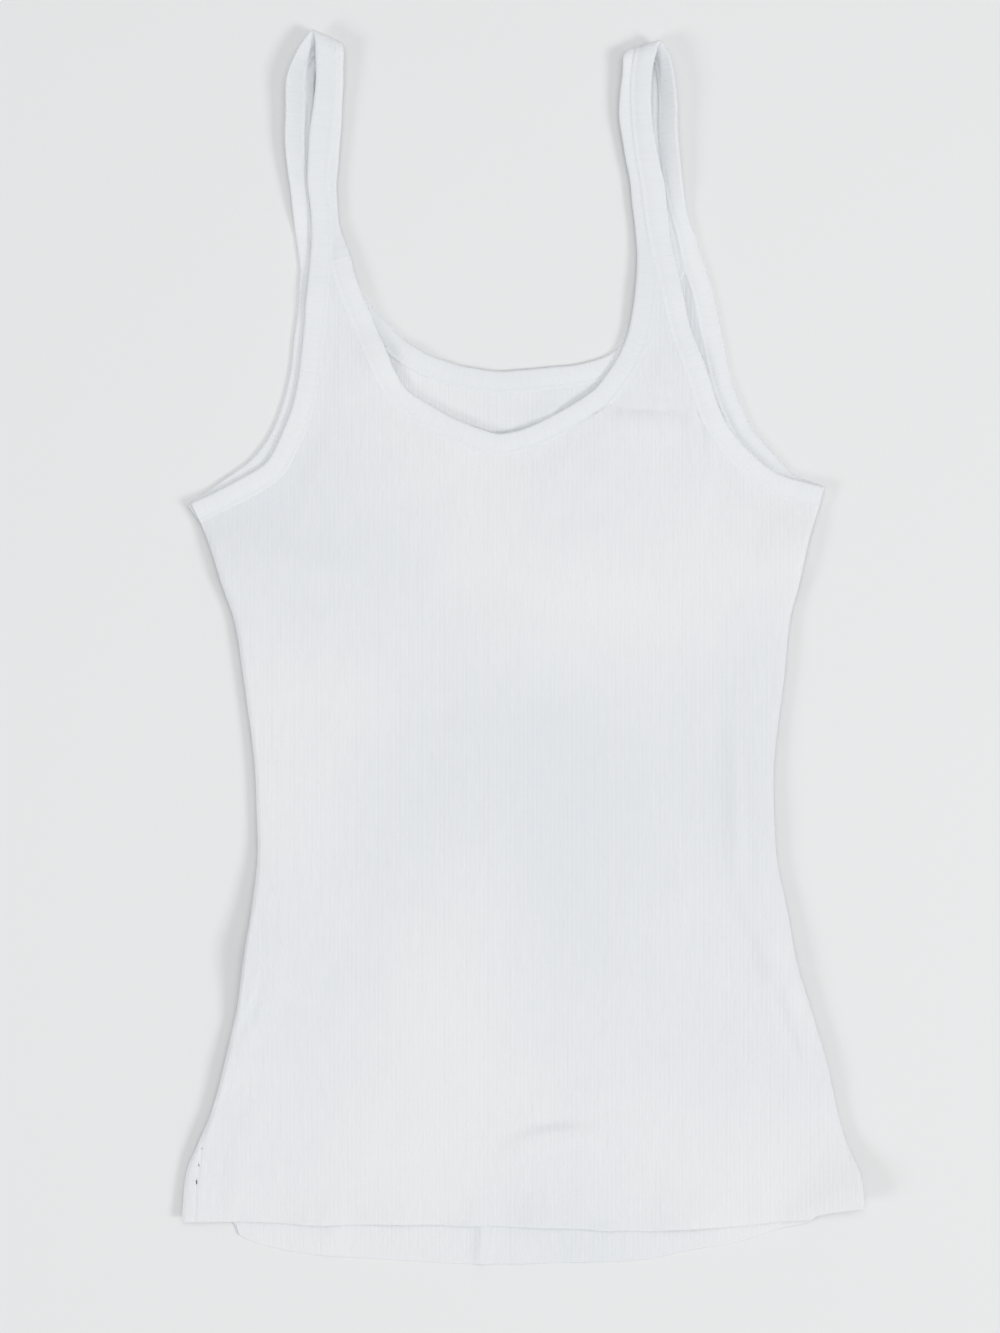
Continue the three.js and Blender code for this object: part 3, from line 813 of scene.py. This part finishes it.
def strap_edges(strap):
    """The armhole edge, the seam and the neck edge of a strap, as points."""
    y, arm, seam, neck, slant, arm_z, seam_z, neck_z = strap.T
    seam_y = y + slant * (seam - arm) / (neck - arm)
    return (
        np.column_stack([arm, y, arm_z]),
        np.column_stack([seam, seam_y, seam_z]),
        np.column_stack([neck, y + slant, neck_z]),
    )


def bound_edge(seam, width, level, lift):
    """The seam and the folded edge of a binding along a panel's edge, as two lines of points."""
    line = line_through(seam, SECTION_SPACING)
    ahead = np.gradient(line, axis=0)
    out = np.column_stack([-ahead[:, 1], ahead[:, 0]])
    out /= np.linalg.norm(out, axis=1)[:, None]
    fold = line + out * width
    heights = level + lift(line[:, 0], line[:, 1])
    return np.column_stack([line, heights]), np.column_stack([fold, heights])


def drawn_fine(seam, edge, spacing, closed):
    """Both lines of a strip drawn through their points together, at even steps along its middle."""
    both = np.hstack([seam, edge])
    if closed:
        ringed = np.vstack([both[-2:], both, both[:3]])
    else:
        ringed = np.vstack([2 * both[0] - both[1], both, 2 * both[-1] - both[-2]])
    spans = smooth_spans(ringed, 40)
    if closed:
        fine = np.vstack(spans[1 : len(both) + 1] + [spans[len(both) + 1][:1]])
    else:
        fine = np.vstack([*spans, both[-1]])
    middle = (fine[:, :3] + fine[:, 3:]) / 2
    walked = np.r_[0, np.cumsum(np.linalg.norm(np.diff(middle, axis=0), axis=1))]
    at = np.linspace(0, walked[-1], round(walked[-1] / spacing) + 1)
    if closed:
        at = at[:-1]
    drawn = np.column_stack([np.interp(at, walked, column) for column in fine.T])
    return drawn[:, :3], drawn[:, 3:], at


def directions(seam, edge, closed):
    """Along, across and out of the face of a strip."""
    middle = (seam + edge) / 2
    if closed:
        along = np.roll(middle, -1, axis=0) - np.roll(middle, 1, axis=0)
    else:
        along = np.gradient(middle, axis=0)
    across = edge - seam
    width = np.linalg.norm(across, axis=1)[:, None]
    across = across / width
    face = np.cross(along, across)
    face /= np.linalg.norm(face, axis=1)[:, None]
    return across, face, width


BINDING_RIB = 2.4  # pitch of the ribs that cross a binding
RIB_RELIEF = 0.045
PUCKER_RELIEF, PUCKER_LENGTH = 0.06, 14
EDGE_WANDER, WANDER_LENGTH = 0.22, 26  # how far and over what length the folded edge strays
EDGE_SCALLOP = 0.07  # and how far each rib bows it out
NARROW_WIDTHS = (5.5, 9)  # a strip thickens from its narrow wall to its full one over these
LAP = 0.8  # how far a binding's stitched edge laps onto the panel
STITCH_LINE = 1.5  # from the seam to the line of stitches


def binding_profile(width):
    """Half of a binding's section, from the stitched edge to the fold: how far across, height."""
    lap, stitches = 0 * width - LAP, 0 * width + STITCH_LINE
    middle = (STITCH_LINE + 0.9 + width - 1.6) / 2
    return [
        (lap, 0.45), (lap + 0.2, 0.7), (lap + 0.6, 0.86),
        (stitches - 0.6, 0.93), (stitches, 0.66), (stitches + 0.6, 0.95),
        (middle, 1.0), (width - 1.6, 1.0), (width - 0.75, 0.88), (width - 0.22, 0.52),
    ]


def place_on_binding(tree):
    """Bindings carry their own measure: across the ribs, which is along the strip, then along them."""
    node = tree.nodes.new("ShaderNodeAttribute")
    node.attribute_name = "on_strip"
    return node.outputs["Vector"]


binding_knit = cotton(
    "White cotton binding",
    place_on_binding,
    loop_width=BINDING_RIB / 2,
    loop_height=0.9,
    relief=0.4,
    light=(0.828, 0.846, 0.866),
    deep=(0.782, 0.804, 0.83),
)


def folded_strip(name, seam, edge, seed, closed=False, narrow_half=BINDING_WALL / 2):
    """A folded strip of rib with rounded edges, between its seam line and its fold line. Where it
    shows at less than its full width, half of its wall is narrow_half."""
    seam, edge, walked = drawn_fine(seam, edge, FINE_SPACING, closed)
    across, face, width = directions(seam, edge, closed)
    half = narrow_half + (BINDING_WALL / 2 - narrow_half) * smoothstep(width, *NARROW_WIDTHS)
    pucker = unevenness(walked, 0 * walked, PUCKER_LENGTH, seed)[:, None]
    ribbing = np.cos(2 * math.pi * walked / BINDING_RIB)[:, None] * (0.75 + 0.25 * pucker)
    wander = unevenness(walked, 0 * walked, WANDER_LENGTH, seed + 1)[:, None]
    strays = EDGE_WANDER * wander + EDGE_SCALLOP * ribbing
    over = [(at + strays * np.clip(at / width, 0, 1), height) for at, height in binding_profile(width)]
    under = [(at, -height) for at, height in over[::-1]]
    lines, measure = [], []
    for at, height in [*over, (width + strays, 0.0), *under]:
        relief = RIB_RELIEF * ribbing + PUCKER_RELIEF * pucker
        relief = relief * np.sign(height) * np.minimum(abs(height) * 1.2, 1)
        lines.append(seam + across * at + face * (half * height + relief))
        measure.append(np.column_stack([walked, (at + 0 * width)[:, 0], 0 * walked]))
    points = np.stack(lines, axis=1)
    points[:, :, 2] = np.maximum(points[:, :, 2], 0)
    sections, corners = points.shape[:2]
    index = np.arange(sections * corners).reshape(sections, corners)
    turned = np.roll(index, -1, axis=1)
    if closed:
        start, end = index, np.roll(index, -1, axis=0)
        start_turned, end_turned = turned, np.roll(turned, -1, axis=0)
    else:
        start, end, start_turned, end_turned = index[:-1], index[1:], turned[:-1], turned[1:]
    faces = np.stack([start, start_turned, end_turned, end], -1).reshape(-1, 4).tolist()
    if not closed:
        faces += [index[0].tolist()[::-1], index[-1].tolist()]
    strip = new_piece(name, points.reshape(-1, 3), faces, binding_knit)
    place = strip.data.attributes.new("on_strip", "FLOAT_VECTOR", "POINT")
    place.data.foreach_set("vector", (np.stack(measure, axis=1) * MM).astype(np.float32).ravel())
    return strip, (seam, edge, across, face, width, walked)


def stitched(name, strip, lines, least_width=0.0):
    """A row of stitches on both faces of a strip, where it shows at least_width or more."""
    seam, _, across, face, width, walked = lines
    every = (STITCH_LENGTH + STITCH_GAP) / FINE_SPACING
    reach = round(STITCH_LENGTH / FINE_SPACING)
    stitches = []
    for start in np.arange(3, len(walked) - reach - 3, every).astype(int):
        if width[start, 0] < least_width:
            continue
        for out in (face[start], -face[start]):
            ends = [on_face(strip, seam[k] + across[k] * STITCH_LINE, out) for k in (start, start + reach)]
            if all(end is not None for end in ends):
                stitches.append((*ends, out))
    return sewn(name, stitches)


def front_edge_lift(x, y):
    return lifts(x, y, EDGE_LIFTS) + side_lift(x, y)


for side, front, strap, back in (
    ("left", FRONT_LEFT_ARMHOLE, LEFT_STRAP, BACK_LEFT_ARMHOLE),
    ("right", FRONT_RIGHT_ARMHOLE, RIGHT_STRAP, BACK_RIGHT_ARMHOLE),
):
    front_seam, front_fold = bound_edge(front, ARMHOLE_WIDTH, FRONT_LEVEL, front_edge_lift)
    back_seam, back_fold = bound_edge(back, ARMHOLE_WIDTH, BACK_LEVEL, side_lift)
    if side == "left":
        back_seam, back_fold = back_seam[::-1], back_fold[::-1]
    else:
        front_seam, front_fold = front_seam[::-1], front_fold[::-1]
    arm, middle, _ = strap_edges(strap)
    strip, lines = folded_strip(
        f"{side}_armhole_binding_cloth",
        np.vstack([front_seam, middle, back_seam]),
        np.vstack([front_fold, arm, back_fold]),
        seed=31 if side == "left" else 47,
    )
    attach(strip, "root")
    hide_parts(f"{side}_armhole_binding")
    stitches = stitched(f"{side}_armhole_stitches", strip, lines)
    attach(stitches, "root")


# ---------------------------------------------------------------------------------------------
# Neck binding. The same folded strip sewn into one ring round the whole neckline. On the straps
# its seam edge runs under the armhole binding, so that only its inner half shows.
# ---------------------------------------------------------------------------------------------
NECK_WIDTH = 10.5

front_seam, front_fold = bound_edge(FRONT_NECK, NECK_WIDTH, FRONT_LEVEL, front_edge_lift)
back_seam, back_fold = bound_edge(BACK_NECK, NECK_WIDTH, BACK_LEVEL, back_edge_lift)
_, left_middle, left_neck = strap_edges(LEFT_STRAP)
_, right_middle, right_neck = strap_edges(RIGHT_STRAP)
neck_ring, neck_lines = folded_strip(
    "neck_binding_cloth",
    np.vstack([front_seam, right_middle, back_seam[::-1], left_middle[::-1]]),
    np.vstack([front_fold, right_neck, back_fold[::-1], left_neck[::-1]]),
    seed=63,
    closed=True,
    narrow_half=0.62,
)
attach(neck_ring, "root")
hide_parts("front_neck_binding", "back_neck_binding")
neck_stitches = stitched("neck_stitches", neck_ring, neck_lines, least_width=8.5)
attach(neck_stitches, "root")


# ---------------------------------------------------------------------------------------------
# Light and camera. Soft light from overhead, from both sides of the hem and from all round, for
# a camera that looks straight down. These are in metres.
# ---------------------------------------------------------------------------------------------
def soft_light(name, place, size, power, colour):
    light = bpy.data.lights.new(name, "AREA")
    light.shape = "SQUARE"
    light.size = size
    light.energy = power
    light.color = colour
    lamp = bpy.data.objects.new(name, light)
    lamp.location = place
    lamp.rotation_euler = (-Vector(place)).to_track_quat("-Z", "Y").to_euler()
    bpy.context.scene.collection.objects.link(lamp)


soft_light("ceiling", (0.1, 0.42, 2.4), 1.8, 20.6, (1.0, 1.0, 1.0))
soft_light("right window", (2.5, -1.0, 2.1), 0.95, 39.0, (1.0, 0.995, 0.99))
soft_light("left window", (-2.5, -1.1, 1.5), 0.9, 20.5, (0.99, 0.995, 1.0))

world = bpy.data.worlds.new("Soft room")
world.use_nodes = True
world.node_tree.nodes["Background"].inputs["Color"].default_value = (1.0, 1.0, 1.0, 1)
world.node_tree.nodes["Background"].inputs["Strength"].default_value = 0.4
bpy.context.scene.world = world
bpy.context.scene.view_settings.view_transform = "Standard"

VIEW_LENGTH = 0.6665  # the length of the view at the height of the cloth
VIEW_MIDDLE = (-0.01125, -0.00875)
CLOTH_TOP = 0.002
LENS, SENSOR = 70.0, 36.0
camera = bpy.data.cameras.new("camera")
camera.sensor_fit = "VERTICAL"
camera.sensor_height = SENSOR
camera.lens = LENS
above = bpy.data.objects.new("camera", camera)
above.location = (*VIEW_MIDDLE, VIEW_LENGTH * LENS / SENSOR + CLOTH_TOP)
bpy.context.scene.collection.objects.link(above)
bpy.context.scene.camera = above
